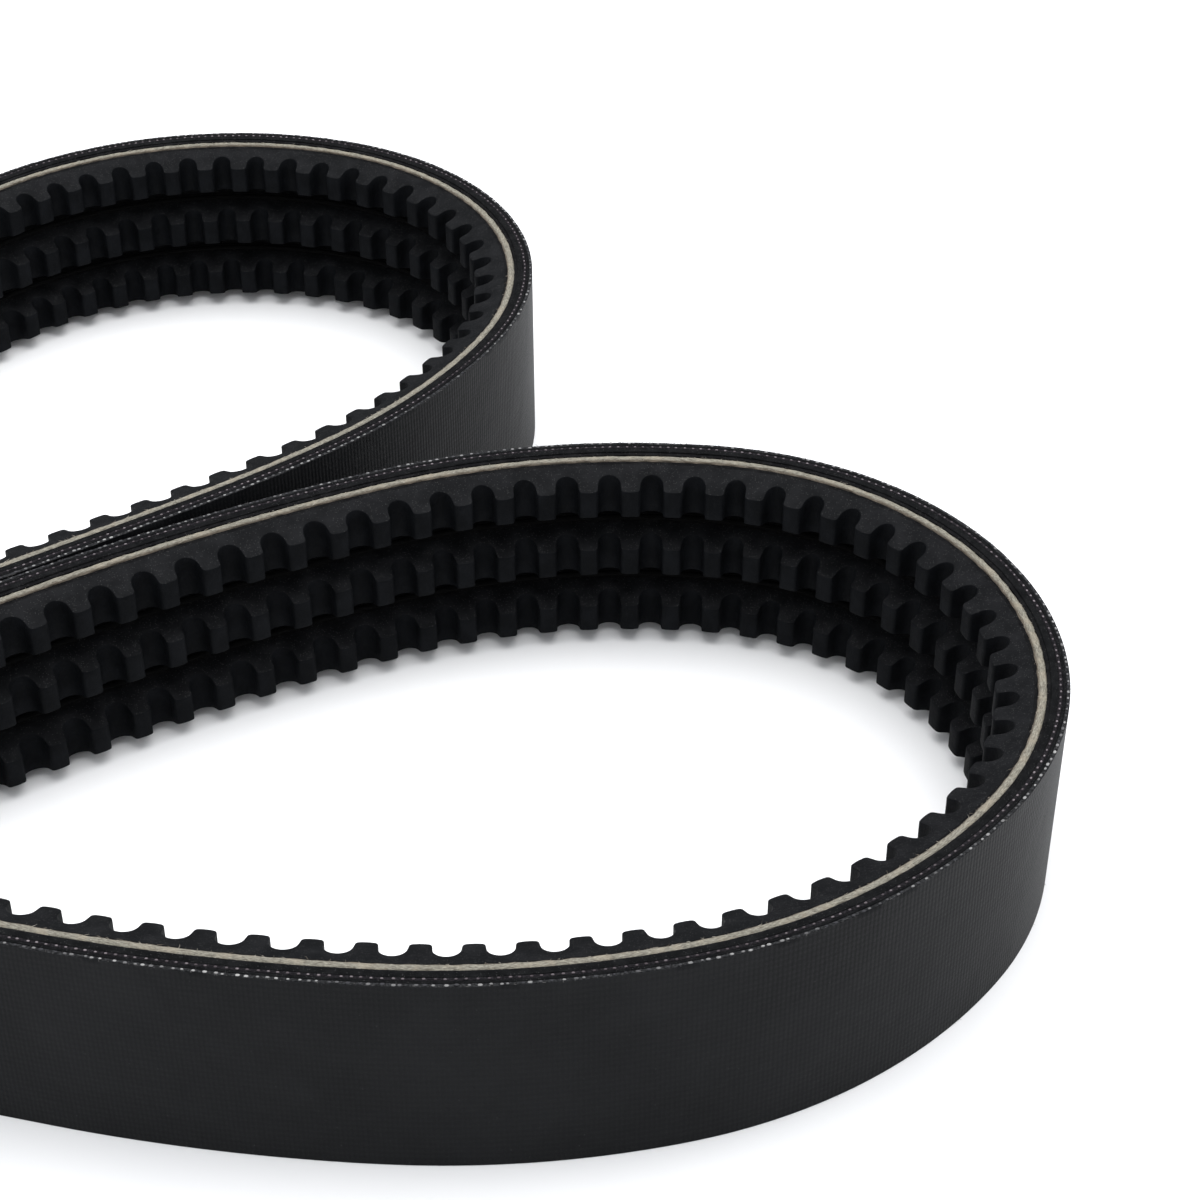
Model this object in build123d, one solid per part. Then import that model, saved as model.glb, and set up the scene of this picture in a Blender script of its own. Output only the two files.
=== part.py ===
from build123d import *
from math import cos, pi, radians, sin, tan
import os

# A banded (joined) V-belt: three raw-edge cogged ribs bonded to one tie band.
# It stands on its edge, so the pulley axis is +Z, and is laid in a folded C: a front lobe,
# a fold that turns the other way, a rear lobe, and a left end that closes the loop.
# Origin: the centre of the bounding box, on the surface that the lower edge stands on.
# Millimetres and degrees throughout.

# ---- Section across the belt ----
RIB_NAMES = ["bottom_rib", "middle_rib", "top_rib"]
RIB_TOP_WIDTH = 15.2          # rib width where it meets the tie band
VALLEY_WIDTH = 2.3            # between two ribs, where they meet the tie band
EDGE_STEP = 0.4               # how far the tie band's edge stands out past the last rib
FLANK_ANGLE = 18.0            # each flank from the plane of the pulley: a 36 degree rib

# ---- Layers through the belt, from the back to the cogs ----
OUTER_PLY = 0.9               # rubberised fabric on the back
PLY_RUBBER = 0.75             # rubber between the two plies
INNER_PLY = 0.9
BASE_RUBBER = 1.65            # rubber that bonds the ribs to the tie band
CUSHION = 3.5                 # soft rubber that holds the tensile cord, half each side of it
CORE_DEPTH = 8.45             # fibre-loaded rubber, cushion to cog tips
CORD_DIAMETER = 2.1
CORD_TURNS = 6                # turns in one rib; both flanks cut through an end turn
CUT_FACETS = 10               # flats that stand for the round side of a cut turn

# ---- Cogs ----
COG_PITCH = 11.1              # along the cord; adjusted a little so that a whole number fits
COG_DEPTH = 5.3
COG_TIP_RADIUS = 2.2          # a cog's tip is a half round

# ---- Lay ----
CORD_LINE = 1938.2            # length of the belt, measured along its cords
LOBE_CLEARANCE = 0.7          # between the backs of the two lobes, where they come closest
FRONT_HEADING = -14.5         # direction in which the front strand starts
# Tangent arcs (radius of the cord line, sweep), counter-clockwise positive. The radii are
# scaled together until the belt has the length wanted.
FRONT_LOBE = [(390, 11), (196, 18), (118, 39), (80, 118.5), (157, 31.5), (490, 11)]
REAR_LOBE = [(2600, 1.2), (347, 6.8), (152.5, 23), (80.5, 94), (93.5, 69)]
# None marks a radius that is worked out, two in each group.
FOLD = [(None, -27.5), (None, -239), (63, 86.5)]
LEFT_END = [(None, -8), (370, 6.5), (None, 67), (94.5, 67.5), (530, -16)]

# ---- Depths, measured inwards from the cord line ----
CUSHION_INNER = CUSHION / 2
CUSHION_OUTER = -CUSHION / 2
BASE_OUTER = CUSHION_OUTER - BASE_RUBBER
INNER_PLY_OUTER = BASE_OUTER - INNER_PLY
PLY_RUBBER_OUTER = INNER_PLY_OUTER - PLY_RUBBER
BACK = PLY_RUBBER_OUTER - OUTER_PLY
COG_TIP = CUSHION_INNER + CORE_DEPTH
COG_ROOT = COG_TIP - COG_DEPTH

# ---- Heights ----
RIB_COUNT = len(RIB_NAMES)
RIB_SPACING = RIB_TOP_WIDTH + VALLEY_WIDTH    # centre to centre, as the pulley's grooves
BAND_WIDTH = (RIB_COUNT - 1) * RIB_SPACING + RIB_TOP_WIDTH + 2 * EDGE_STEP

CUT_MARGIN = 1.0              # how far a cutting shape runs past what it cuts


def unit_displacement(heading, sweep):
    """End point of a tangent arc of radius 1 that starts at the origin."""
    turn = 1 if sweep > 0 else -1
    start, end = radians(heading), radians(heading + sweep)
    return turn * (sin(end) - sin(start)), turn * (cos(start) - cos(end))


def solve_radii(arcs, heading, goal):
    """Fill in the two radii marked None, so that the arcs end at goal, seen from their start."""
    rest_x, rest_y = goal
    unknown = []
    for radius, sweep in arcs:
        step_x, step_y = unit_displacement(heading, sweep)
        if radius is None:
            unknown.append((step_x, step_y))
        else:
            rest_x -= radius * step_x
            rest_y -= radius * step_y
        heading += sweep
    (ax, ay), (bx, by) = unknown
    determinant = ax * by - bx * ay
    radii = iter([(rest_x * by - bx * rest_y) / determinant,
                  (ax * rest_y - rest_x * ay) / determinant])
    return [(next(radii) if radius is None else radius, sweep) for radius, sweep in arcs]


def chain_end(arcs, heading):
    """Where a chain of arcs ends, seen from its start."""
    x = y = 0.0
    for radius, sweep in arcs:
        step_x, step_y = unit_displacement(heading, sweep)
        x += radius * step_x
        y += radius * step_y
        heading += sweep
    return x, y


def scaled(arcs, scale):
    return [(radius and radius * scale, sweep) for radius, sweep in arcs]


def lay_at(scale):
    """All (radius, sweep) arcs of the cord line, in order round the loop, at one scale."""
    front, fold = scaled(FRONT_LOBE, scale), scaled(FOLD, scale)
    rear, left = scaled(REAR_LOBE, scale), scaled(LEFT_END, scale)
    fold_heading = FRONT_HEADING + sum(sweep for _, sweep in front)
    lobe_offset = -2 * BACK + LOBE_CLEARANCE
    across = radians(fold_heading - 90)
    fold = solve_radii(fold, fold_heading, (lobe_offset * cos(across), lobe_offset * sin(across)))
    visible = front + fold + rear
    x, y = chain_end(visible, FRONT_HEADING)
    left_heading = FRONT_HEADING + sum(sweep for _, sweep in visible)
    return visible + solve_radii(left, left_heading, (-x, -y))


def lay_length(arcs):
    return sum(radius * abs(radians(sweep)) for radius, sweep in arcs)


def closed_lay():
    """The lay whose cord line is CORD_LINE long. The length grows evenly with the scale."""
    drawn = lay_length(lay_at(1))
    growth = lay_length(lay_at(2)) - drawn
    return lay_at(1 + (CORD_LINE - drawn) / growth)


class BeltArc:
    """One arc of the cord line. Depths are inwards, to the left of the direction of travel."""

    def __init__(self, x, y, heading, radius, sweep):
        self.heading, self.radius, self.sweep = heading, radius, sweep
        self.turn = 1 if sweep > 0 else -1
        self.length = radius * abs(radians(sweep))
        self.x, self.y = x, y
        self.centre_x = x - self.turn * radius * sin(radians(heading))
        self.centre_y = y + self.turn * radius * cos(radians(heading))

    def frame(self, distance):
        """Point, tangent and inward normal at a distance along the arc."""
        heading = radians(self.heading) + self.turn * distance / self.radius
        tangent = Vector(cos(heading), sin(heading))
        normal = Vector(-sin(heading), cos(heading))
        point = Vector(self.centre_x, self.centre_y) - normal * (self.turn * self.radius)
        return point, tangent, normal

    def edge(self, depth):
        """The arc's line at a depth."""
        return CenterArc((self.centre_x, self.centre_y), self.radius - self.turn * depth,
                         self.heading - 90 * self.turn, self.sweep)

    def sweep_section(self, section):
        """A section drawn in (depth, height), carried along the arc."""
        point, tangent, normal = self.frame(0)
        placed = Plane(origin=point, x_dir=normal, z_dir=tangent) * section
        axis = Axis((self.centre_x, self.centre_y, 0), (0, 0, self.turn))
        return revolve(placed, axis, abs(self.sweep))


def place_arcs():
    """The lay as placed arcs, with the middle of the back's bounding box at the origin."""
    arcs = []
    x = y = 0.0
    heading = FRONT_HEADING
    for radius, sweep in closed_lay():
        arcs.append(BeltArc(x, y, heading, radius, sweep))
        step_x, step_y = unit_displacement(heading, sweep)
        x += radius * step_x
        y += radius * step_y
        heading += sweep
    box = closed_wire(arcs, BACK).bounding_box()
    centre = box.center()
    return [BeltArc(arc.x - centre.X, arc.y - centre.Y, arc.heading, arc.radius, arc.sweep)
            for arc in arcs]


def closed_wire(arcs, depth):
    return Wire([arc.edge(depth) for arc in arcs])


def flat_ring(arcs, outer, inner, height):
    """A layer with square edges, from one depth to another, standing on the floor."""
    face = Face(closed_wire(arcs, outer), [closed_wire(arcs, inner)])
    return extrude(face, height, dir=(0, 0, 1))


def section_ring(arcs, section):
    """A section carried all round the loop."""
    pieces = [arc.sweep_section(section) for arc in arcs]
    return pieces[0].fuse(*pieces[1:])


def half_width(depth):
    """Half the rib's width at a depth."""
    return RIB_TOP_WIDTH / 2 - (depth - CUSHION_OUTER) * tan(radians(FLANK_ANGLE))


def rib_section(outer, inner):
    """The rib's section between two depths, centred on the rib."""
    corners = [(outer, -half_width(outer)), (inner, -half_width(inner)),
               (inner, half_width(inner)), (outer, half_width(outer))]
    return make_face(Polyline(*corners, close=True))


def cord_heights():
    """Heights of a rib's cord turns; the end turns are centred on the flanks."""
    spacing = 2 * half_width(0) / (CORD_TURNS - 1)
    return [spacing * turn - half_width(0) for turn in range(CORD_TURNS)]


def cut_cord(height):
    """The half of an end turn that the flank leaves in the rib, drawn with flats."""
    side = 1 if height > 0 else -1
    slope = radians(FLANK_ANGLE)
    corners = []
    for corner in range(CUT_FACETS + 1):
        angle = pi * corner / CUT_FACETS
        along_flank = -CORD_DIAMETER / 2 * cos(angle)
        into_rib = CORD_DIAMETER / 2 * sin(angle)
        corners.append((along_flank * cos(slope) - into_rib * sin(slope),
                        height - side * (along_flank * sin(slope) + into_rib * cos(slope))))
    return make_face(Polyline(*corners, close=True))


def cord_sections():
    """The section of each turn in one rib, from the lower flank up."""
    first, *inner, last = cord_heights()
    whole = [Pos(0, height) * Circle(CORD_DIAMETER / 2) for height in inner]
    return [cut_cord(first), *whole, cut_cord(last)]


def cushion_ring(arcs):
    """The soft rubber of one rib, with a tunnel or a groove for each cord turn."""
    section = rib_section(CUSHION_OUTER, CUSHION_INNER)
    for cord in cord_sections():
        section -= cord
    return section_ring(arcs, section)


def frame_at(arcs, distance):
    """Point, tangent and inward normal at a distance round the whole loop."""
    distance %= sum(arc.length for arc in arcs)
    for arc in arcs:
        if distance <= arc.length:
            return arc.frame(distance)
        distance -= arc.length
    return arcs[0].frame(0)


def local_point(frame, along, depth):
    point, tangent, normal = frame
    return point + tangent * along + normal * depth


def cog_tip(frame):
    """The round outline of one cog's tip, with the points where it starts and ends."""
    side = COG_TIP - COG_TIP_RADIUS
    start = local_point(frame, -COG_TIP_RADIUS, side)
    crown = local_point(frame, 0, COG_TIP)
    end = local_point(frame, COG_TIP_RADIUS, side)
    return ThreePointArc(start, crown, end), start, end


def cogged_wire(arcs):
    """The inner outline: rigid cogs square to the cord line, joined by root curves that flex."""
    length = sum(arc.length for arc in arcs)
    count = round(length / COG_PITCH)
    pitch = length / count
    cogs = [cog_tip(frame_at(arcs, pitch * (index + 0.5))) for index in range(count)]
    edges = []
    for index, (tip, _, leaving) in enumerate(cogs):
        arriving = cogs[(index + 1) % count][1]
        root = local_point(frame_at(arcs, pitch * (index + 1)), 0, COG_ROOT)
        edges += [tip, ThreePointArc(leaving, root, arriving)]
    return Wire(edges), count, pitch


def core_ring(arcs):
    """The cogged core of one rib, cut to the V of its flanks."""
    cogs, count, pitch = cogged_wire(arcs)
    print(f"{count} cogs at {pitch:.3f} mm")
    face = Face(closed_wire(arcs, CUSHION_INNER), [cogs])
    width = 2 * (half_width(CUSHION_INNER) + CUT_MARGIN)
    slab = Pos(0, 0, -width / 2) * extrude(face, width, dir=(0, 0, 1))
    flanks = section_ring(arcs, rib_section(CUSHION_INNER - CUT_MARGIN, COG_TIP + CUT_MARGIN))
    return slab & flanks


def write(name, shape):
    solids = shape.solids()
    if len(solids) != 1:
        raise ValueError(f"{name} is {len(solids)} solids")
    export_step(solids[0], f"parts/{name}.step")


def main():
    os.makedirs("parts", exist_ok=True)
    arcs = place_arcs()
    for arc in arcs:
        print(f"radius {arc.radius:7.1f}  sweep {arc.sweep:6.1f}")
    print(f"cord line {sum(arc.length for arc in arcs):.1f} mm")
    write("tie_band_outer_ply", flat_ring(arcs, BACK, PLY_RUBBER_OUTER, BAND_WIDTH))
    write("tie_band_ply_rubber", flat_ring(arcs, PLY_RUBBER_OUTER, INNER_PLY_OUTER, BAND_WIDTH))
    write("tie_band_inner_ply", flat_ring(arcs, INNER_PLY_OUTER, BASE_OUTER, BAND_WIDTH))
    write("tie_band_base_rubber", flat_ring(arcs, BASE_OUTER, CUSHION_OUTER, BAND_WIDTH))
    cushion = cushion_ring(arcs)
    cords = [section_ring(arcs, section) for section in cord_sections()]
    core = core_ring(arcs)
    for index, rib in enumerate(RIB_NAMES):
        middle = BAND_WIDTH / 2 + (index - (RIB_COUNT - 1) / 2) * RIB_SPACING
        write(f"{rib}_cushion_rubber", Pos(0, 0, middle) * cushion)
        write(f"{rib}_cogged_core", Pos(0, 0, middle) * core)
        for turn, cord in enumerate(cords, start=1):
            write(f"{rib}_cord_turn_{turn}", Pos(0, 0, middle) * cord)


main()
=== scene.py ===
"""The looks of a banded, cogged V-belt that stands on its edge on a pale floor.

Every belt piece is swept along one line, the cord line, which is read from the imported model.
A point on the belt is given as (along, depth, height): metres along the cord line, metres
inwards from it, and metres above the floor.
"""
from math import cos, pi, radians, sin, tan

import bpy
import numpy as np
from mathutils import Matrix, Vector


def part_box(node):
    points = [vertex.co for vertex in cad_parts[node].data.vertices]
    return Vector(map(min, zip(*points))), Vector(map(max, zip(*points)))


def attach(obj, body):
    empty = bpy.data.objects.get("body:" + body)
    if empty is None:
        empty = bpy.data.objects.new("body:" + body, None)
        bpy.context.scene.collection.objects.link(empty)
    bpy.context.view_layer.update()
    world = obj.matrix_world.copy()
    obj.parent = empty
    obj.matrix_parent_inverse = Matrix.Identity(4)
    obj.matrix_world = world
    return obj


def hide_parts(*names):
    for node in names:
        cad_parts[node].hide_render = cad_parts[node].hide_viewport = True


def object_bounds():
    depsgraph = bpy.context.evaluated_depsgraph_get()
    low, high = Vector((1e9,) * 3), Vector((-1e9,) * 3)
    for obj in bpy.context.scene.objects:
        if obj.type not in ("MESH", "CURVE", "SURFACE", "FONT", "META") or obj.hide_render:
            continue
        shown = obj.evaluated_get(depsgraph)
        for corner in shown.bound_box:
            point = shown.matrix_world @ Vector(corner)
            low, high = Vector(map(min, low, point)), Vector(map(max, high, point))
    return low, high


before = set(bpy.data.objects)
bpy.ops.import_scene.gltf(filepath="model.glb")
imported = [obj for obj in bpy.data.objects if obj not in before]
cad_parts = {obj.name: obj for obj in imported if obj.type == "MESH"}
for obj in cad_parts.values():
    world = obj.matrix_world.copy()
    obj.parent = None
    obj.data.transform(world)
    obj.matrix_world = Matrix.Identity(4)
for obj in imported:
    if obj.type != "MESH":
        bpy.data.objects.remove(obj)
cad_low, cad_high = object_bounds()

MM = 0.001
RIBS = ("bottom_rib", "middle_rib", "top_rib")
BAND = ("outer_ply", "ply_rubber", "inner_ply", "base_rubber")
LAST_TURN = 6

# ---- Section across the belt, as the frame has it ----
FLANK_SLOPE = tan(radians(18.0))
CORD_RADIUS = 1.05 * MM
CUSHION = 3.5 * MM
CORE_DEPTH = 8.45 * MM
COG_DEPTH = 5.3 * MM
BAND_HEIGHT = cad_high.z

# ---- Cogs ----
COG_PITCH = 11.1 * MM
TIP_CROWN = (8.0 * MM, radians(11))      # radius and turn of half the slightly domed tip
TIP_CORNER = (1.0 * MM, radians(73))     # radius and turn of the rounded corner
CUT_BEVEL = 0.22 * MM                    # edge that the flank cut leaves on the cogs

# ---- How finely the pieces are swept ----
STATION = 1.1 * MM
LINE_STEP = 0.25 * MM

# ---- Thread ends and fibres at the cut edges ----
THREAD_SPACING = 2.0 * MM
PLY_THREAD = 0.34 * MM                   # half the width of a cut thread
FIBRES_ON_CORD = 5200
FIBRES_ON_PLY = 1300

# ---- Camera and light ----
CAMERA_AT = (0.1304, -0.5306, 0.4017)
CAMERA_PITCH = 36.56                     # degrees below the horizon, looking along +Y
LENS, SENSOR = 76.8, 36.0


# ======================================================================================
# The cord line
# ======================================================================================

def top_loops(node):
    """The closed outlines of a node's top face, each as an array of (x, y)."""
    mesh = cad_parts[node].data
    places = {}
    for vertex in mesh.vertices:
        places[vertex.index] = tuple(round(value, 7) for value in vertex.co)
    top = max(place[2] for place in places.values())
    uses = {}
    for face in mesh.polygons:
        corners = [places[index] for index in face.vertices]
        if min(corner[2] for corner in corners) < top - 1e-5:
            continue
        for start, end in zip(corners, corners[1:] + corners[:1]):
            uses[(start, end)] = uses.get((start, end), 0) + 1
    following = {start: end for start, end in uses if (end, start) not in uses}
    loops = []
    while following:
        start, place = following.popitem()
        loop = [start]
        while place != start:
            loop.append(place)
            place = following.pop(place)
        loops.append(np.array(loop)[:, :2])
    return loops


def enclosed_area(points):
    ahead = np.roll(points, -1, axis=0)
    return 0.5 * float((points[:, 0] * ahead[:, 1] - points[:, 1] * ahead[:, 0]).sum())


def loop_length(points):
    return float(np.linalg.norm(np.roll(points, -1, axis=0) - points, axis=1).sum())


def evenly(points, spacing):
    """A closed line of points, resampled at an even spacing."""
    closed = np.vstack([points, points[:1]])
    along = np.concatenate([[0.0], np.cumsum(np.linalg.norm(np.diff(closed, axis=0), axis=1))])
    count = round(along[-1] / spacing)
    wanted = np.arange(count) * along[-1] / count
    return np.stack([np.interp(wanted, along, closed[:, axis]) for axis in (0, 1)], axis=1)


def rounded_line(points, spacing):
    """The smooth closed line through points that lie on tangent arcs."""
    ahead = np.roll(points, -1, axis=0) - points
    reach = np.linalg.norm(ahead, axis=1)[:, None]
    behind = np.roll(ahead, 1, axis=0)
    behind_reach = np.roll(reach, 1, axis=0)
    tangent = ahead / reach**2 + behind / behind_reach**2
    tangent /= np.linalg.norm(tangent, axis=1)[:, None]
    pieces = []
    for index in range(len(points)):
        after = (index + 1) % len(points)
        share = np.linspace(0, 1, 24, endpoint=False)[:, None]
        start = (1 + 2 * share) * (1 - share)**2
        leave = share * (1 - share)**2 * reach[index]
        arrive = share**2 * (share - 1) * reach[index]
        pieces.append(start * points[index] + (1 - start) * points[after]
                      + leave * tangent[index] + arrive * tangent[after])
    return evenly(np.vstack(pieces), spacing)


def directions(points):
    """Unit tangents of an evenly spaced closed line."""
    tangent = np.roll(points, -1, axis=0) - np.roll(points, 1, axis=0)
    return tangent / np.linalg.norm(tangent, axis=1)[:, None]


class CordLine:
    """The closed cord line, counter-clockwise, with the belt's inside on its left."""

    def __init__(self, points):
        self.points = points
        self.count = len(points)
        self.length = loop_length(points)
        self.tangents = directions(points)
        self.step = self.length / self.count
        heading = np.unwrap(np.arctan2(self.tangents[:, 1], self.tangents[:, 0]))
        turned = np.gradient(heading, self.step)
        window = np.ones(17) / 17
        padded = np.concatenate([turned[-8:], turned, turned[:8]])
        self.turning = np.convolve(padded, window, mode="valid")

    def sample(self, values, along):
        place = (along / self.step) % self.count
        low = np.floor(place).astype(int) % self.count
        share = place - np.floor(place)
        high = (low + 1) % self.count
        if values.ndim == 2:
            share = share[..., None]
        return values[low] * (1 - share) + values[high] * share

    def place(self, lay):
        """World points of an array of (along, depth, height)."""
        along, depth, height = lay[..., 0], lay[..., 1], lay[..., 2]
        point = self.sample(self.points, along)
        tangent = self.sample(self.tangents, along)
        tangent = tangent / np.linalg.norm(tangent, axis=-1)[..., None]
        inward = np.stack([-tangent[..., 1], tangent[..., 0]], axis=-1)
        flat = point + inward * depth[..., None]
        return np.concatenate([flat, height[..., None]], axis=-1)

    def nearest(self, flat):
        """(along, depth) of world points in plan."""
        along, depth = [], []
        for point in flat:
            away = point - self.points
            index = int((away**2).sum(axis=1).argmin())
            tangent = self.tangents[index]
            along.append(index * self.step + float(away[index] @ tangent))
            depth.append(float(away[index] @ np.array([-tangent[1], tangent[0]])))
        return np.array(along), np.array(depth)


def node_depth(node):
    """How far inside the back a node's outer surface lies, where the belt faces +X."""
    return cad_high.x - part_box(node)[1].x


def find_cord_line():
    back = max(top_loops("tie_band_outer_ply"), key=loop_length)
    if enclosed_area(back) < 0:
        back = back[::-1]
    back = rounded_line(back, LINE_STEP)
    tangent = directions(back)
    inward = np.stack([-tangent[:, 1], tangent[:, 0]], axis=1)
    return CordLine(evenly(back + inward * CORD_FROM_BACK, LINE_STEP))


CORD_FROM_BACK = node_depth("top_rib_cushion_rubber") + CUSHION / 2
line = find_cord_line()

# ---- Depths inwards from the cord line ----
BAND_DEPTHS = [node_depth(f"tie_band_{layer}") - CORD_FROM_BACK for layer in BAND]
CUSHION_OUTER = -CUSHION / 2
CUSHION_INNER = CUSHION / 2
COG_TIP = CUSHION_INNER + CORE_DEPTH
COG_ROOT = COG_TIP - COG_DEPTH
RIB_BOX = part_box("top_rib_cushion_rubber")
RIB_TOP_WIDTH = RIB_BOX[1].z - RIB_BOX[0].z


def rib_middle(rib):
    low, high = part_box(f"{rib}_cushion_rubber")
    return (low.z + high.z) / 2


def half_width(depth):
    """Half a rib's width at a depth."""
    return RIB_TOP_WIDTH / 2 - (depth - CUSHION_OUTER) * FLANK_SLOPE


# ======================================================================================
# Meshes
# ======================================================================================

def new_mesh(name, places, faces, lay=None, sharp=35, shade=None):
    """A smooth-shaded mesh object. lay is kept on its corners, for the materials."""
    mesh = bpy.data.meshes.new(name)
    mesh.vertices.add(len(places))
    mesh.vertices.foreach_set("co", places.astype(np.float32).ravel())
    mesh.loops.add(faces.size)
    mesh.loops.foreach_set("vertex_index", faces.astype(np.int32).ravel())
    mesh.polygons.add(len(faces))
    starts = np.arange(0, faces.size, faces.shape[1], dtype=np.int32)
    mesh.polygons.foreach_set("loop_start", starts)
    mesh.update(calc_edges=True)
    mesh.validate()
    mesh.shade_smooth()
    mesh.set_sharp_from_angle(angle=radians(sharp))
    if lay is not None:
        attribute = mesh.attributes.new("lay", "FLOAT_VECTOR", "CORNER")
        attribute.data.foreach_set("vector", lay.astype(np.float32).ravel())
    if shade is not None:
        attribute = mesh.attributes.new("shade", "FLOAT", "POINT")
        attribute.data.foreach_set("value", shade.astype(np.float32))
    made = bpy.data.objects.new(name, mesh)
    bpy.context.scene.collection.objects.link(made)
    return made


def add_piece(made, material, slot, *nodes):
    """Give a piece its material and its body, and hide the CAD nodes it stands for. The slot is not
    used.
    """
    made.data.materials.append(material)
    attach(made, "root")
    if nodes:
        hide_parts(*nodes)
    return made


def grid_faces(stations, corners):
    """Quads of a grid that is closed both ways, facing out of a section drawn anticlockwise."""
    i, j = np.meshgrid(np.arange(stations), np.arange(corners), indexing="ij")
    i_next, j_next = (i + 1) % stations, (j + 1) % corners
    quads = [i * corners + j, i * corners + j_next,
             i_next * corners + j_next, i_next * corners + j]
    return np.stack(quads, axis=-1).reshape(-1, 4)


def swept(name, lay):
    """A closed ring from a grid of (along, depth, height), stations by section corners."""
    stations, corners = lay.shape[:2]
    faces = grid_faces(stations, corners)
    places = line.place(lay).reshape(-1, 3)
    on_corners = lay.reshape(-1, 3)[faces]
    wraps = np.ptp(on_corners[..., 0], axis=1) > line.length / 2
    seam = on_corners[wraps]
    seam[..., 0] += np.where(seam[..., 0] < line.length / 2, line.length, 0)
    on_corners[wraps] = seam
    return new_mesh(name, places, faces, lay=on_corners)


def even_stations(spacing=STATION):
    count = round(line.length / spacing)
    return np.arange(count) * line.length / count


def wobble(rng, count, amount, reach):
    """Smooth random values round a closed loop; reach is how many stations they run on."""
    values = rng.normal(size=count)
    frequency = np.fft.rfftfreq(count) * reach
    values = np.fft.irfft(np.fft.rfft(values) * np.exp(-(2 * frequency)**2), count)
    return amount * values / values.std()


def ring_lay(along, section):
    """The same section of (depth, height) at every station."""
    lay = np.empty((len(along), len(section), 3))
    lay[..., 0] = along[:, None]
    lay[..., 1:] = np.array(section)[None]
    return lay


def ring_of_solids(name, along, centres, across, reach, segments=6, bands=4, shade=None):
    """Many small closed beads. centres are (along, depth, height); across and reach are
    each bead's half sizes along the belt and in depth, and in height."""
    ring = np.arange(segments) * 2 * pi / segments
    rise = np.linspace(-pi / 2, pi / 2, bands + 1)[1:-1]
    unit = [(0, 0, -1)]
    for latitude in rise:
        unit += [(cos(turn) * cos(latitude), sin(turn) * cos(latitude), sin(latitude))
                 for turn in ring]
    unit = np.array(unit + [(0, 0, 1)])
    triangles = []
    for j in range(segments):
        k = (j + 1) % segments
        triangles.append((0, 1 + k, 1 + j))
        for band in range(len(rise) - 1):
            low, high = 1 + band * segments, 1 + (band + 1) * segments
            triangles += [(low + j, low + k, high + k), (low + j, high + k, high + j)]
        last = 1 + (len(rise) - 1) * segments
        triangles.append((last + j, last + k, len(unit) - 1))
    triangles = np.array(triangles)
    size = np.stack([across, reach[:, 0], reach[:, 1]], axis=1)
    lay = centres[:, None, :] + unit[None] * size[:, None, :]
    places = line.place(lay).reshape(-1, 3)
    faces = triangles[None] + (np.arange(len(centres)) * len(unit))[:, None, None]
    faces = faces.reshape(-1, 3)
    on_points = None if shade is None else np.repeat(shade, len(unit))
    return new_mesh(name, places, faces, lay=lay.reshape(-1, 3)[faces], sharp=180,
                    shade=on_points)


def fibres(name, roots, leans, thickness, shade):
    """Many fine tapered hairs, each a closed three-sided spike with a bend."""
    turns = np.array([0, 2 * pi / 3, 4 * pi / 3])
    lengths = np.linalg.norm(leans, axis=1)[:, None]
    ahead = leans / lengths
    aside = np.cross(ahead, [0.3, 0.5, 0.8])
    aside /= np.linalg.norm(aside, axis=1)[:, None]
    other = np.cross(ahead, aside)
    bend = aside * lengths * 0.22
    rows = []
    for share, width in ((0.0, 1.0), (0.55, 0.8)):
        middle = roots + leans * share + bend * sin(pi * share)
        for turn in turns:
            rows.append(middle + (aside * cos(turn) + other * sin(turn))
                        * thickness[:, None] * width)
    rows.append(roots + leans)
    places = np.stack(rows, axis=1)
    triangles = [(0, 2, 1)]
    for j in range(3):
        k = (j + 1) % 3
        triangles += [(j, k, 3 + k), (j, 3 + k, 3 + j), (3 + j, 3 + k, 6)]
    faces = np.array(triangles)[None] + (np.arange(len(roots)) * 7)[:, None, None]
    return new_mesh(name, places.reshape(-1, 3), faces.reshape(-1, 3), sharp=180,
                    shade=np.repeat(shade, 7))


# ======================================================================================
# Belt pieces
# ======================================================================================

def band_layer(name, outer, inner, rng, roughness):
    """One flat layer of the tie band. Its cut edges are a little uneven."""
    along = even_stations()
    low, high, soft = 0.0, BAND_HEIGHT, 0.12 * MM
    middle = np.linspace(low + 1.5 * MM, high - 1.5 * MM, 5)
    section = [(outer + soft, low), (inner - soft, low), (inner, low + soft)]
    section += [(inner, height) for height in middle]
    section += [(inner, high - soft), (inner - soft, high), (outer + soft, high),
                (outer, high - soft)]
    section += [(outer, height) for height in middle[::-1]]
    section += [(outer, low + soft)]
    lay = ring_lay(along, section)
    top = [index for index, (_, height) in enumerate(section) if height >= high - soft]
    for index in top:
        lay[:, index, 2] -= np.abs(wobble(rng, len(along), roughness, 3))
    return swept(name, lay)


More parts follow.
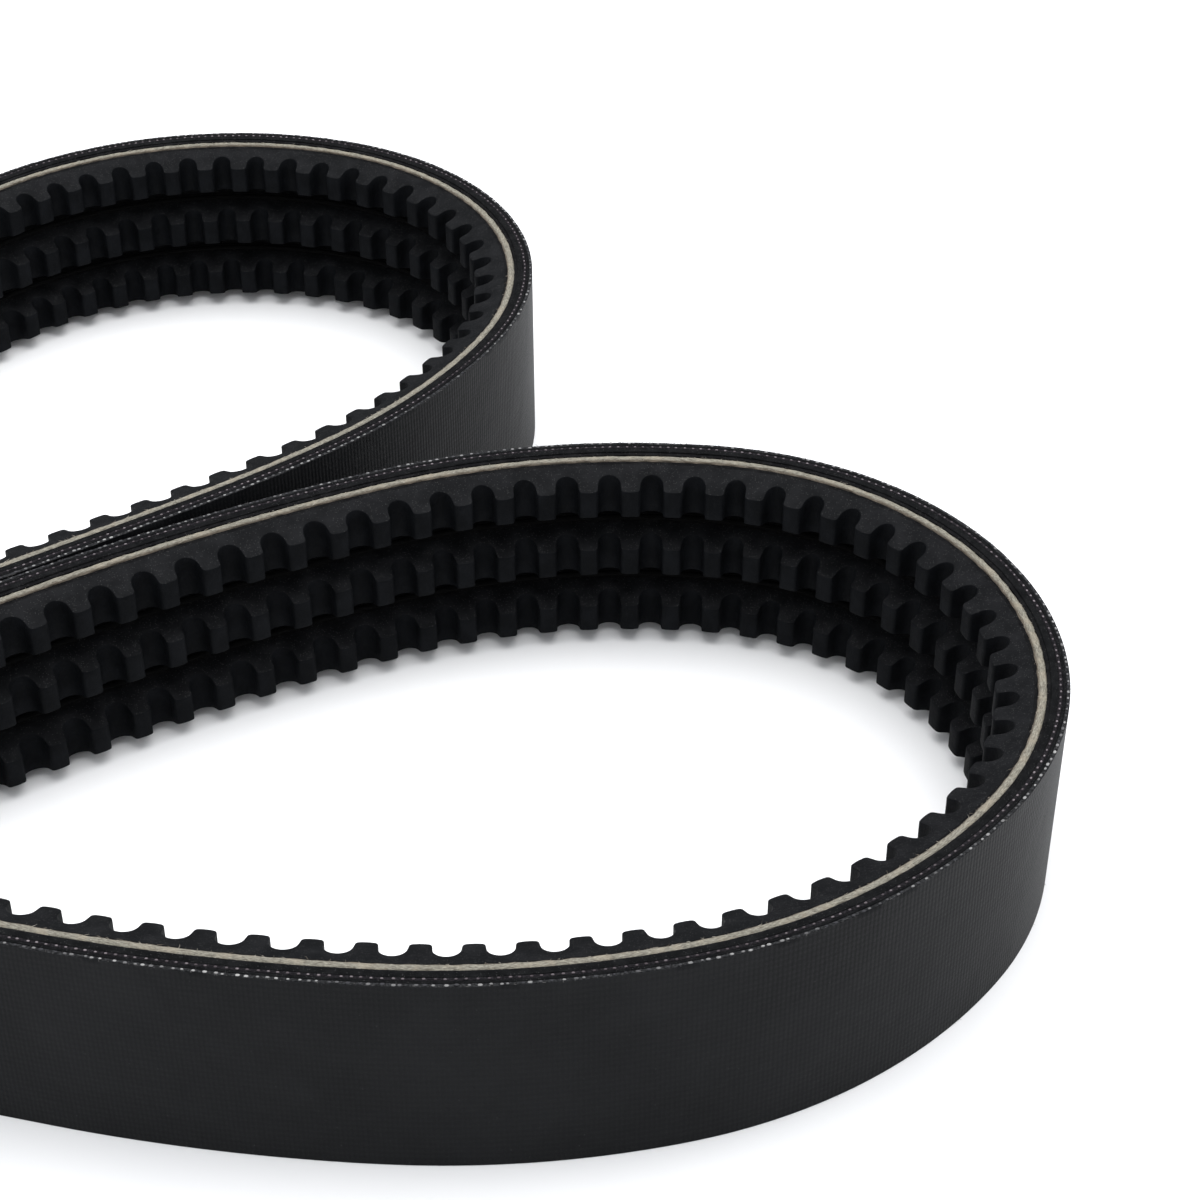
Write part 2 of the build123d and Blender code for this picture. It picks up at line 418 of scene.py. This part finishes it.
def cog_profile():
    """Half a cog's outline from the middle of its tip to the middle of the notch, as
    (along, depth from the tip, the outline's own turn)."""
    crown_radius, crown_turn = TIP_CROWN
    corner_radius, corner_turn = TIP_CORNER
    full = crown_turn + corner_turn
    x = crown_radius * sin(crown_turn) + corner_radius * (sin(full) - sin(crown_turn))
    d = crown_radius * (1 - cos(crown_turn)) + corner_radius * (cos(crown_turn) - cos(full))
    # a straight side and a root arc fill what is left of half a pitch and of the depth
    matrix = np.array([[cos(full), sin(full)], [sin(full), 1 - cos(full)]])
    side, root = np.linalg.solve(matrix, [PITCH / 2 - x, COG_DEPTH - d])
    points = [(crown_radius * sin(a), crown_radius * (1 - cos(a)), a)
              for a in np.linspace(0, crown_turn, 4)]
    start_x, start_d, _ = points[-1]
    for a in np.linspace(crown_turn, full, 6)[1:]:
        points.append((start_x + corner_radius * (sin(a) - sin(crown_turn)),
                       start_d + corner_radius * (cos(crown_turn) - cos(a)), a))
    x, d, _ = points[-1]
    points.append((x + side * cos(full), d + side * sin(full), full))
    x, d, _ = points[-1]
    for a in np.linspace(full, 0, 8)[1:]:
        points.append((x + root * (sin(full) - sin(a)),
                       d + root * (cos(a) - cos(full)), a))
    return np.array(points)


def cog_outline():
    """(along, depth, turn) of the whole cogged outline; rigid cogs, notches that flex."""
    half = cog_profile()
    before = half[:0:-1] * [-1, 1, -1]
    one = np.vstack([before, half[:-1]])
    count = round(line.length / COG_PITCH)
    cogs = (np.arange(count) * PITCH + COG_PHASE)[:, None]
    offset, depth = one[None, :, 0], COG_TIP - one[None, :, 1]
    curve = line.sample(line.turning, cogs[:, 0])[:, None]
    side = half[9, 0]
    share = np.clip((np.abs(offset) - side) / (PITCH / 2 - side), 0, 1)
    share = share * share * (3 - 2 * share)
    along = cogs + offset * (share + (1 - share) / (1 - curve * depth))
    depth = np.broadcast_to(depth, along.shape)
    turn = np.broadcast_to(one[None, :, 2], along.shape)
    return np.stack([along, depth, turn], axis=-1).reshape(-1, 3)


def cogged_core(rib, outline, rng):
    """A rib's cogged core: flanks, a fine bevel along every cut edge, and the moulded faces."""
    along, depth, turn = outline.T
    rows = []
    # into the rubber from the outline: against its normal, in (along, depth)
    into_along, into_depth = -np.sin(turn), -np.cos(turn)
    uneven = np.abs(wobble(rng, len(along), 0.05 * MM, 4))
    for side in (-1, 1):
        flank = []
        for share in (0.0, 0.5):
            at = CUSHION_INNER + share * (COG_ROOT - 0.6 * MM - CUSHION_INNER)
            flank.append((along, np.full_like(along, at), side * half_width(at)))
        edge = depth + CUT_BEVEL * into_depth
        flank.append((along + CUT_BEVEL * into_along, edge, side * half_width(edge)))
        near = depth + 0.3 * CUT_BEVEL * into_depth
        flank.append((along + 0.3 * CUT_BEVEL * into_along, near,
                      side * (half_width(near) - 0.3 * CUT_BEVEL)))
        flank.append((along, depth, side * (half_width(depth) - CUT_BEVEL - uneven)))
        rows.append(flank if side < 0 else flank[::-1])
    across = [(along, depth, share * (half_width(depth) - CUT_BEVEL - uneven))
              for share in (-0.6, -0.2, 0.2, 0.6)]
    section = rows[0] + across + rows[1]
    lay = np.empty((len(along), len(section), 3))
    for index, (at_along, at_depth, height) in enumerate(section):
        lay[:, index, 0] = at_along
        lay[:, index, 1] = at_depth
        lay[:, index, 2] = height + rib_middle(rib)
    return swept(f"{rib}_cogs", lay)


def frayed_cord(rib, turn, side, rng):
    """The half turn of cord that a flank shows: a rough, slightly twisted bead."""
    along = even_stations(0.8 * MM)
    angles = np.arange(12) * 2 * pi / 12
    lay = np.empty((len(along), len(angles), 3))
    lay[..., 0] = along[:, None]
    centre = rib_middle(rib) + side * (half_width(0) - 0.25 * MM)
    for index, angle in enumerate(angles):
        twist = 0.05 * np.cos(3 * angle - 2 * pi * along / (5.2 * MM))
        radius = CORD_RADIUS * (0.96 + twist) + wobble(rng, len(along), 0.045 * MM, 2)
        lay[:, index, 1] = radius * cos(angle)
        lay[:, index, 2] = centre + 0.62 * radius * sin(angle)
    return swept(f"{rib}_cut_cord_{turn}", lay)


def cord_fibres(rib, side, rng):
    """Cut fibres that stand off the cord at an edge of the belt."""
    count = FIBRES_ON_CORD
    root = np.stack([rng.uniform(0, line.length, count),
                     rng.uniform(-0.95, 0.95, count) * CORD_RADIUS,
                     np.full(count, rib_middle(rib) + side * (half_width(0) + 0.12 * MM))],
                    axis=1)
    tip = root.copy()
    tip[:, 0] += rng.normal(0, 0.75, count) * MM
    tip[:, 1] += rng.normal(0, 0.38, count) * MM
    tip[:, 2] += side * np.abs(rng.normal(0.12, 0.16, count)) * MM
    start, end = line.place(root), line.place(tip)
    thickness = rng.uniform(0.028, 0.06, count) * MM
    return fibres(f"{rib}_cord_fibres", start, end - start, thickness,
                  rng.uniform(0, 1, count))


def thread_ends(name, depth, rng, size, spread, irregular):
    """Cut thread ends along both edges of a ply."""
    count = round(line.length / THREAD_SPACING)
    centres, across, reach, shade = [], [], [], []
    for height in (0.12 * MM, BAND_HEIGHT - 0.02 * MM):
        along = (np.arange(count) + irregular * rng.uniform(-0.5, 0.5, count))
        along = along * line.length / count
        at = depth + rng.normal(0, spread, count)
        centres.append(np.stack([along, at, np.full(count, height)], axis=1))
        grow = 1 + irregular * rng.uniform(-0.35, 0.55, count)
        across.append(size * 1.25 * grow)
        reach.append(np.stack([size * 0.85 * grow, np.full(count, 0.12 * MM)], axis=1))
        bright = wobble(rng, count, 1.0, 9) * 0.22 + rng.uniform(0, 1, count) * 0.75
        shade.append(np.clip(bright, 0, 1))
    return ring_of_solids(name, None, np.vstack(centres), np.concatenate(across),
                          np.vstack(reach), shade=np.concatenate(shade))


def ply_fibres(rng):
    """Short hairs at both edges of the outer ply, most of them pointing out from the back."""
    count = FIBRES_ON_PLY * 2
    top = rng.uniform(0, 1, count) > 0.4
    height = np.where(top, BAND_HEIGHT - 0.05 * MM, 0.35 * MM)
    root = np.stack([rng.uniform(0, line.length, count),
                     BAND_DEPTHS[0] + rng.uniform(0.05, 0.5, count) * MM, height], axis=1)
    tip = root.copy()
    tip[:, 0] += rng.normal(0, 0.45, count) * MM
    tip[:, 1] -= np.abs(rng.normal(0.25, 0.3, count)) * MM
    tip[:, 2] += np.where(top, np.abs(rng.normal(0.1, 0.12, count)), 0) * MM
    start, end = line.place(root), line.place(tip)
    return fibres("tie_band_edge_fibres", start, end - start,
                  rng.uniform(0.03, 0.06, count) * MM, rng.uniform(0, 1, count))


# ======================================================================================
# Materials
# ======================================================================================

class Look:
    """A material being made. Each call adds a node and gives back its output."""

    def __init__(self, name, **constants):
        self.material = bpy.data.materials.new(name)
        self.material.use_nodes = True
        self.tree = self.material.node_tree
        self.shader = self.tree.nodes["Principled BSDF"]
        for socket, value in constants.items():
            self.shader.inputs[socket.replace("_", " ")].default_value = value

    def node(self, kind, inputs=(), output=0, **settings):
        made = self.tree.nodes.new(kind)
        for setting, value in settings.items():
            setattr(made, setting, value)
        for socket, value in dict(inputs).items():
            if isinstance(value, bpy.types.NodeSocket):
                self.tree.links.new(value, made.inputs[socket])
            else:
                made.inputs[socket].default_value = value
        return made.outputs[output]

    def attribute(self, name, output="Vector"):
        return self.node("ShaderNodeAttribute", attribute_name=name, output=output)

    def place(self):
        return self.node("ShaderNodeTexCoord", output="Object")

    def noise(self, vector, size, detail=4.0, rough=0.6):
        """Noise whose patches are about size metres wide."""
        return self.node("ShaderNodeTexNoise", {"Vector": vector, "Scale": 1 / size,
                                                "Detail": detail, "Roughness": rough})

    def flecks(self, vector, size, share):
        """1 on small scattered spots of about size metres, 0 elsewhere."""
        cells = self.tree.nodes.new("ShaderNodeTexVoronoi")
        cells.inputs["Scale"].default_value = 1 / (2.4 * size)
        self.tree.links.new(vector, cells.inputs["Vector"])
        near = self.fade(cells.outputs["Distance"], 0.30, 0.16)
        chance = self.node("ShaderNodeSeparateColor", {"Color": cells.outputs["Color"]})
        chosen = self.fade(chance, 1 - share, 1 - share + 0.02)
        return self.math("MULTIPLY", near, chosen)

    def math(self, operation, first, second=0.0):
        return self.node("ShaderNodeMath", {0: first, 1: second}, operation=operation)

    def fade(self, value, start, end):
        """0 at start and 1 at end, smooth between."""
        low, high, flip = (start, end, False) if start < end else (end, start, True)
        limits = {"Value": value, "From Min": low, "From Max": high,
                  "To Min": 1.0 if flip else 0.0, "To Max": 0.0 if flip else 1.0}
        return self.node("ShaderNodeMapRange", limits, interpolation_type="SMOOTHSTEP")

    def spread(self, value, low, high):
        return self.node("ShaderNodeMapRange", {"Value": value, "To Min": low, "To Max": high})

    def mix(self, share, first, second):
        made = self.tree.nodes.new("ShaderNodeMix")
        made.data_type = "RGBA"
        for socket, value in ((0, share), (6, first), (7, second)):
            if isinstance(value, bpy.types.NodeSocket):
                self.tree.links.new(value, made.inputs[socket])
            else:
                made.inputs[socket].default_value = (*value, 1) if socket else value
        return made.outputs[2]

    def upward(self):
        """1 on faces that look up or down, 0 on upright ones."""
        normal = self.node("ShaderNodeNewGeometry", output="Normal")
        z = self.node("ShaderNodeSeparateXYZ", {"Vector": normal}, output="Z")
        return self.fade(self.math("ABSOLUTE", z), 0.45, 0.75)

    def finish(self, colour, roughness, *bumps):
        """Link the colour, the roughness and the bumps, given as (height, depth in metres)."""
        self.tree.links.new(colour, self.shader.inputs["Base Color"])
        self.tree.links.new(roughness, self.shader.inputs["Roughness"])
        normal = None
        for height, depth in bumps:
            inputs = {"Height": height, "Distance": depth, "Strength": 1.0}
            if normal is not None:
                inputs["Normal"] = normal
            normal = self.node("ShaderNodeBump", inputs)
        self.tree.links.new(normal, self.shader.inputs["Normal"])
        return self.material


def cut_rubber(name, dark, light, fleck, fleck_share):
    """Rubber cut by a knife: two dark tones, fine grain and short fibres cut across."""
    look = Look(name, Specular_IOR_Level=0.04)
    place = look.place()
    tone = look.noise(place, 3.0 * MM)
    grain = look.noise(place, 0.28 * MM, 3.0, 0.7)
    colour = look.mix(look.fade(tone, 0.35, 0.7), dark, light)
    colour = look.mix(look.math("MULTIPLY", look.fade(grain, 0.55, 0.8), 0.5), colour, fleck)
    spots = look.flecks(place, 0.16 * MM, fleck_share)
    colour = look.mix(look.math("MULTIPLY", spots, 0.85), colour, fleck)
    rough = look.spread(grain, 0.72, 0.95)
    return look.finish(colour, rough, (grain, 0.12 * MM), (tone, 0.25 * MM), (spots, 0.05 * MM))


def back_cover():
    """The back: rubber-coated cloth whose weave shows faintly, with dust in it; and its
    cut edges, where the threads are paler."""
    look = Look("back_cloth", Specular_IOR_Level=0.08)
    lay, place = look.attribute("lay"), look.place()
    split = look.node("ShaderNodeSeparateXYZ", {"Vector": lay})
    along, height = split, split.node.outputs["Z"]
    drift = look.math("MULTIPLY", look.noise(place, 9 * MM), 1.6)
    warp = look.math("SINE", look.math("ADD", look.math("MULTIPLY", along, 2 * pi / (1.0 * MM)),
                                       drift))
    weft = look.math("SINE", look.math("ADD", look.math("MULTIPLY", height, 2 * pi / (1.5 * MM)),
                                       drift))
    weave = look.math("ADD", warp, look.math("MULTIPLY", weft, 0.45))
    patches = look.noise(place, 22 * MM, 5.0)
    grain = look.noise(place, 0.35 * MM, 3.0, 0.7)
    colour = look.mix(look.fade(patches, 0.3, 0.75), (0.0032, 0.0035, 0.0041),
                      (0.0058, 0.0062, 0.0070))
    threads = look.math("MULTIPLY", look.fade(weave, 0.2, 1.4), 0.35)
    colour = look.mix(threads, colour, (0.0095, 0.0100, 0.0112))
    dust = look.flecks(place, 0.22 * MM, 0.012)
    colour = look.mix(look.math("MULTIPLY", dust, 0.7), colour, (0.10, 0.10, 0.105))
    edge_tone = look.noise(place, 0.5 * MM, 3.0)
    edge = look.mix(look.fade(edge_tone, 0.4, 0.72), (0.0035, 0.0036, 0.0042), (0.030, 0.031, 0.033))
    colour = look.mix(look.upward(), colour, edge)
    rough = look.spread(grain, 0.40, 0.62)
    return look.finish(colour, rough, (weave, 0.018 * MM), (grain, 0.06 * MM),
                       (patches, 0.5 * MM))


def inner_cloth():
    """The inner ply: only its edges and the valleys between the ribs show it."""
    look = Look("inner_cloth", Specular_IOR_Level=0.04)
    place = look.place()
    thread = look.noise(place, 0.5 * MM, 3.0, 0.65)
    tone = look.noise(place, 5 * MM)
    colour = look.mix(look.fade(thread, 0.42, 0.72), (0.006, 0.0056, 0.0064),
                      (0.023, 0.021, 0.024))
    colour = look.mix(look.math("MULTIPLY", look.fade(tone, 0.4, 0.7), 0.35), colour,
                      (0.015, 0.0135, 0.0155))
    return look.finish(colour, look.spread(thread, 0.75, 0.95), (thread, 0.12 * MM))


def moulded_core():
    """Cog faces are smooth moulded rubber; the flanks are cut and show short fibres."""
    look = Look("cogged_rubber", Specular_IOR_Level=0.05)
    place = look.place()
    tone = look.noise(place, 6 * MM, 5.0)
    grain = look.noise(place, 0.4 * MM, 4.0, 0.7)
    moulded = look.mix(look.fade(tone, 0.35, 0.7), (0.0024, 0.0028, 0.0035),
                       (0.0046, 0.0052, 0.0064))
    worn = look.noise(place, 1.6 * MM, 5.0, 0.7)
    moulded = look.mix(look.math("MULTIPLY", look.fade(worn, 0.55, 0.8), 0.6), moulded,
                       (0.0095, 0.0100, 0.0115))
    cut = look.mix(look.fade(tone, 0.35, 0.7), (0.0040, 0.0043, 0.0050),
                   (0.0082, 0.0085, 0.0095))
    spots = look.flecks(place, 0.15 * MM, 0.34)
    cut = look.mix(look.math("MULTIPLY", spots, 0.75), cut, (0.060, 0.060, 0.059))
    colour = look.mix(look.upward(), moulded, cut)
    rough = look.spread(grain, 0.5, 0.8)
    return look.finish(colour, rough, (grain, 0.08 * MM), (tone, 0.3 * MM), (worn, 0.06 * MM))


def cord_fibre():
    """Cut polyester cord: pale, streaky along the belt, browner towards the cogs."""
    look = Look("tensile_cord", Specular_IOR_Level=0.15)
    lay = look.attribute("lay")
    stretched = look.node("ShaderNodeMapping", {"Vector": lay, "Scale": (0.22, 1.0, 1.0)})
    streak = look.noise(stretched, 0.22 * MM, 4.0, 0.7)
    tone = look.noise(look.place(), 4 * MM, 4.0)
    depth = look.node("ShaderNodeSeparateXYZ", {"Vector": lay}, output="Y")
    colour = look.mix(look.fade(streak, 0.3, 0.75), (0.085, 0.076, 0.060), (0.33, 0.315, 0.265))
    colour = look.mix(look.math("MULTIPLY", look.fade(tone, 0.45, 0.7), 0.45), colour,
                      (0.30, 0.26, 0.2))
    inner_side = look.fade(depth, 0.35 * MM, 1.05 * MM)
    colour = look.mix(look.math("MULTIPLY", inner_side, 0.75), colour, (0.07, 0.052, 0.038))
    return look.finish(colour, look.spread(streak, 0.8, 0.98), (streak, 0.25 * MM))


def valley_shade_cord():
    """A cut cord that faces a valley between ribs: coloured near black as painted shade of the
    valley, so that it hardly shows.
    """
    look = Look("valley_shade_cord", Specular_IOR_Level=0.1)
    streak = look.noise(look.place(), 0.4 * MM, 4.0, 0.7)
    # painted shade: near-black colour for a cord that lies in a valley between ribs
    colour = look.mix(look.fade(streak, 0.45, 0.8), (0.0030, 0.0030, 0.0032),
                      (0.0085, 0.0080, 0.0075))
    return look.finish(colour, look.spread(streak, 0.8, 0.98), (streak, 0.2 * MM))


def hidden_cord():
    """Whole turns of cord inside the cushion."""
    look = Look("whole_cord", Specular_IOR_Level=0.25)
    streak = look.noise(look.place(), 0.4 * MM, 4.0, 0.7)
    colour = look.mix(look.fade(streak, 0.3, 0.75), (0.2, 0.17, 0.13), (0.48, 0.44, 0.37))
    return look.finish(colour, look.spread(streak, 0.8, 0.98), (streak, 0.2 * MM))


def thread_look(name, dark, light):
    """Cut threads and hairs; each has its own shade."""
    look = Look(name, Specular_IOR_Level=0.25)
    shade = look.attribute("shade", "Fac")
    grain = look.noise(look.place(), 0.15 * MM, 3.0, 0.7)
    colour = look.mix(shade, dark, light)
    colour = look.mix(look.math("MULTIPLY", look.fade(grain, 0.45, 0.7), 0.4), colour, dark)
    return look.finish(colour, look.spread(grain, 0.8, 0.98), (grain, 0.05 * MM))


def pale_floor():
    look = Look("pale_floor", Specular_IOR_Level=0.2)
    tone = look.noise(look.place(), 60 * MM, 3.0)
    colour = look.mix(tone, (0.86, 0.86, 0.87), (0.9, 0.9, 0.9))
    return look.finish(colour, look.spread(tone, 0.7, 0.8), (tone, 0.02 * MM))


# ======================================================================================
# Building the belt
# ======================================================================================

def cog_phase():
    """Where the first cog stands along the cord line, from the frame's own cogs."""
    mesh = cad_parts["top_rib_cogged_core"].data
    places = np.array([vertex.co for vertex in mesh.vertices])[:, :2]
    places = np.unique(np.round(places, 5), axis=0)
    rng = np.random.default_rng(1)
    places = places[rng.permutation(len(places))[:4000]]
    along, depth = line.nearest(places)
    tips = along[depth > COG_TIP - 0.3 * MM] * 2 * pi / PITCH
    return float(np.angle(np.exp(1j * tips).mean())) * PITCH / (2 * pi)


PITCH = line.length / round(line.length / COG_PITCH)
COG_PHASE = cog_phase()


def build_band():
    inner_depths = BAND_DEPTHS[1:] + [CUSHION_OUTER]
    band_rubber = cut_rubber("band_rubber", (0.0030, 0.0032, 0.0036), (0.0070, 0.0072, 0.0078),
                             (0.050, 0.050, 0.050), 0.24)
    looks = [back_cover(), band_rubber, inner_cloth(), band_rubber]
    slots = ["back_fabric", "band_rubber", "inner_fabric", "band_rubber"]
    roughness = [0.05, 0.03, 0.05, 0.05]
    for index, layer in enumerate(BAND):
        made = band_layer(f"{layer}_layer", BAND_DEPTHS[index], inner_depths[index],
                          np.random.default_rng(10 + index), roughness[index] * MM)
        add_piece(made, looks[index], slots[index], f"tie_band_{layer}")


def build_threads():
    pale = thread_look("outer_threads", (0.03, 0.03, 0.034), (0.34, 0.335, 0.33))
    dim = thread_look("inner_threads", (0.055, 0.045, 0.05), (0.2, 0.175, 0.185))
    hair = thread_look("edge_hairs", (0.01, 0.01, 0.012), (0.16, 0.155, 0.15))
    outer = (BAND_DEPTHS[0] + BAND_DEPTHS[1]) / 2
    inner = (BAND_DEPTHS[2] + BAND_DEPTHS[3]) / 2
    made = thread_ends("outer_ply_thread_ends", outer, np.random.default_rng(21),
                       PLY_THREAD, 0.06 * MM, 0.6)
    add_piece(made, pale, "back_fabric")
    made = thread_ends("inner_ply_thread_ends", inner, np.random.default_rng(22),
                       PLY_THREAD * 0.85, 0.03 * MM, 0.2)
    add_piece(made, dim, "inner_fabric")
    add_piece(ply_fibres(np.random.default_rng(23)), hair, "back_fabric")


def build_ribs():
    core, cord, painted_shade_look, whole = moulded_core(), cord_fibre(), valley_shade_cord(), hidden_cord()
    cushion = cut_rubber("cushion_rubber", (0.0038, 0.0038, 0.0043), (0.0085, 0.0085, 0.0092),
                         (0.055, 0.054, 0.052), 0.22)
    hair = thread_look("cord_hairs", (0.16, 0.13, 0.10), (0.56, 0.52, 0.45))
    outline = cog_outline()
    for index, rib in enumerate(RIBS):
        rng = np.random.default_rng(40 + index)
        made = cogged_core(rib, outline, rng)
        add_piece(made, core, "core_rubber", f"{rib}_cogged_core")
        for turn, side in ((1, -1), (LAST_TURN, 1)):
            made = frayed_cord(rib, turn, side, rng)
            # cords that face a valley between ribs get the painted-shade look; only the two outer
            # edge cords stay pale
            at_edge = (rib, turn) in (("bottom_rib", 1), ("top_rib", LAST_TURN))
            add_piece(made, cord if at_edge else painted_shade_look, "tensile_cord",
                      f"{rib}_cord_turn_{turn}")
        set_look(f"{rib}_cushion_rubber", cushion)
        for turn in range(2, LAST_TURN):
            set_look(f"{rib}_cord_turn_{turn}", whole)
    for rib, side, seed in (("bottom_rib", -1, 51), ("top_rib", 1, 52)):
        made = cord_fibres(rib, side, np.random.default_rng(seed))
        add_piece(made, hair, "tensile_cord")


def set_look(node, material):
    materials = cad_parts[node].data.materials
    materials.clear()
    materials.append(material)


# ======================================================================================
# Floor, light and camera
# ======================================================================================

def build_floor():
    """A wide floor just under the belt."""
    half, cells = 3.0, 24
    span = np.linspace(-half, half, cells + 1)
    x, y = np.meshgrid(span, span, indexing="ij")
    places = np.stack([x, y, np.full_like(x, -0.02 * MM)], axis=-1).reshape(-1, 3)
    i, j = np.meshgrid(np.arange(cells), np.arange(cells), indexing="ij")
    corner = i * (cells + 1) + j
    faces = np.stack([corner, corner + cells + 1, corner + cells + 2, corner + 1], axis=-1)
    floor = new_mesh("floor", places, faces.reshape(-1, 4))
    floor.data.materials.append(pale_floor())


def soft_light(name, place, target, width, depth, power):
    lamp = bpy.data.lights.new(name, "AREA")
    lamp.shape, lamp.size, lamp.size_y, lamp.energy = "RECTANGLE", width, depth, power
    made = bpy.data.objects.new(name, lamp)
    made.location = place
    made.rotation_mode = "QUATERNION"
    made.rotation_quaternion = (Vector(target) - Vector(place)).to_track_quat("-Z", "Y")
    bpy.context.scene.collection.objects.link(made)


def build_light():
    middle = (cad_low + cad_high) / 2
    soft_light("overhead", (0.1, 0.2, 1.5), middle, 1.8, 1.8, 36)
    soft_light("right", (1.3, 0.15, 0.7), middle, 1.0, 0.8, 6)
    soft_light("left", (-1.3, -0.2, 0.9), middle, 1.0, 0.8, 4)
    soft_light("front", (0.1, -1.6, 0.8), middle, 1.4, 0.7, 3)
    world = bpy.data.worlds.new("studio")
    world.use_nodes = True
    background = world.node_tree.nodes["Background"]
    background.inputs["Color"].default_value = (0.93, 0.96, 1.0, 1.0)
    background.inputs["Strength"].default_value = 0.75
    bpy.context.scene.world = world
    bpy.context.scene.view_settings.view_transform = "Standard"


def build_camera():
    data = bpy.data.cameras.new("camera")
    data.lens, data.sensor_width = LENS, SENSOR
    data.clip_start, data.clip_end = 0.02, 20.0
    camera = bpy.data.objects.new("camera", data)
    camera.location = CAMERA_AT
    camera.rotation_euler = (radians(90 - CAMERA_PITCH), 0, 0)
    bpy.context.scene.collection.objects.link(camera)
    bpy.context.scene.camera = camera


build_band()
build_threads()
build_ribs()
build_floor()
build_light()
build_camera()
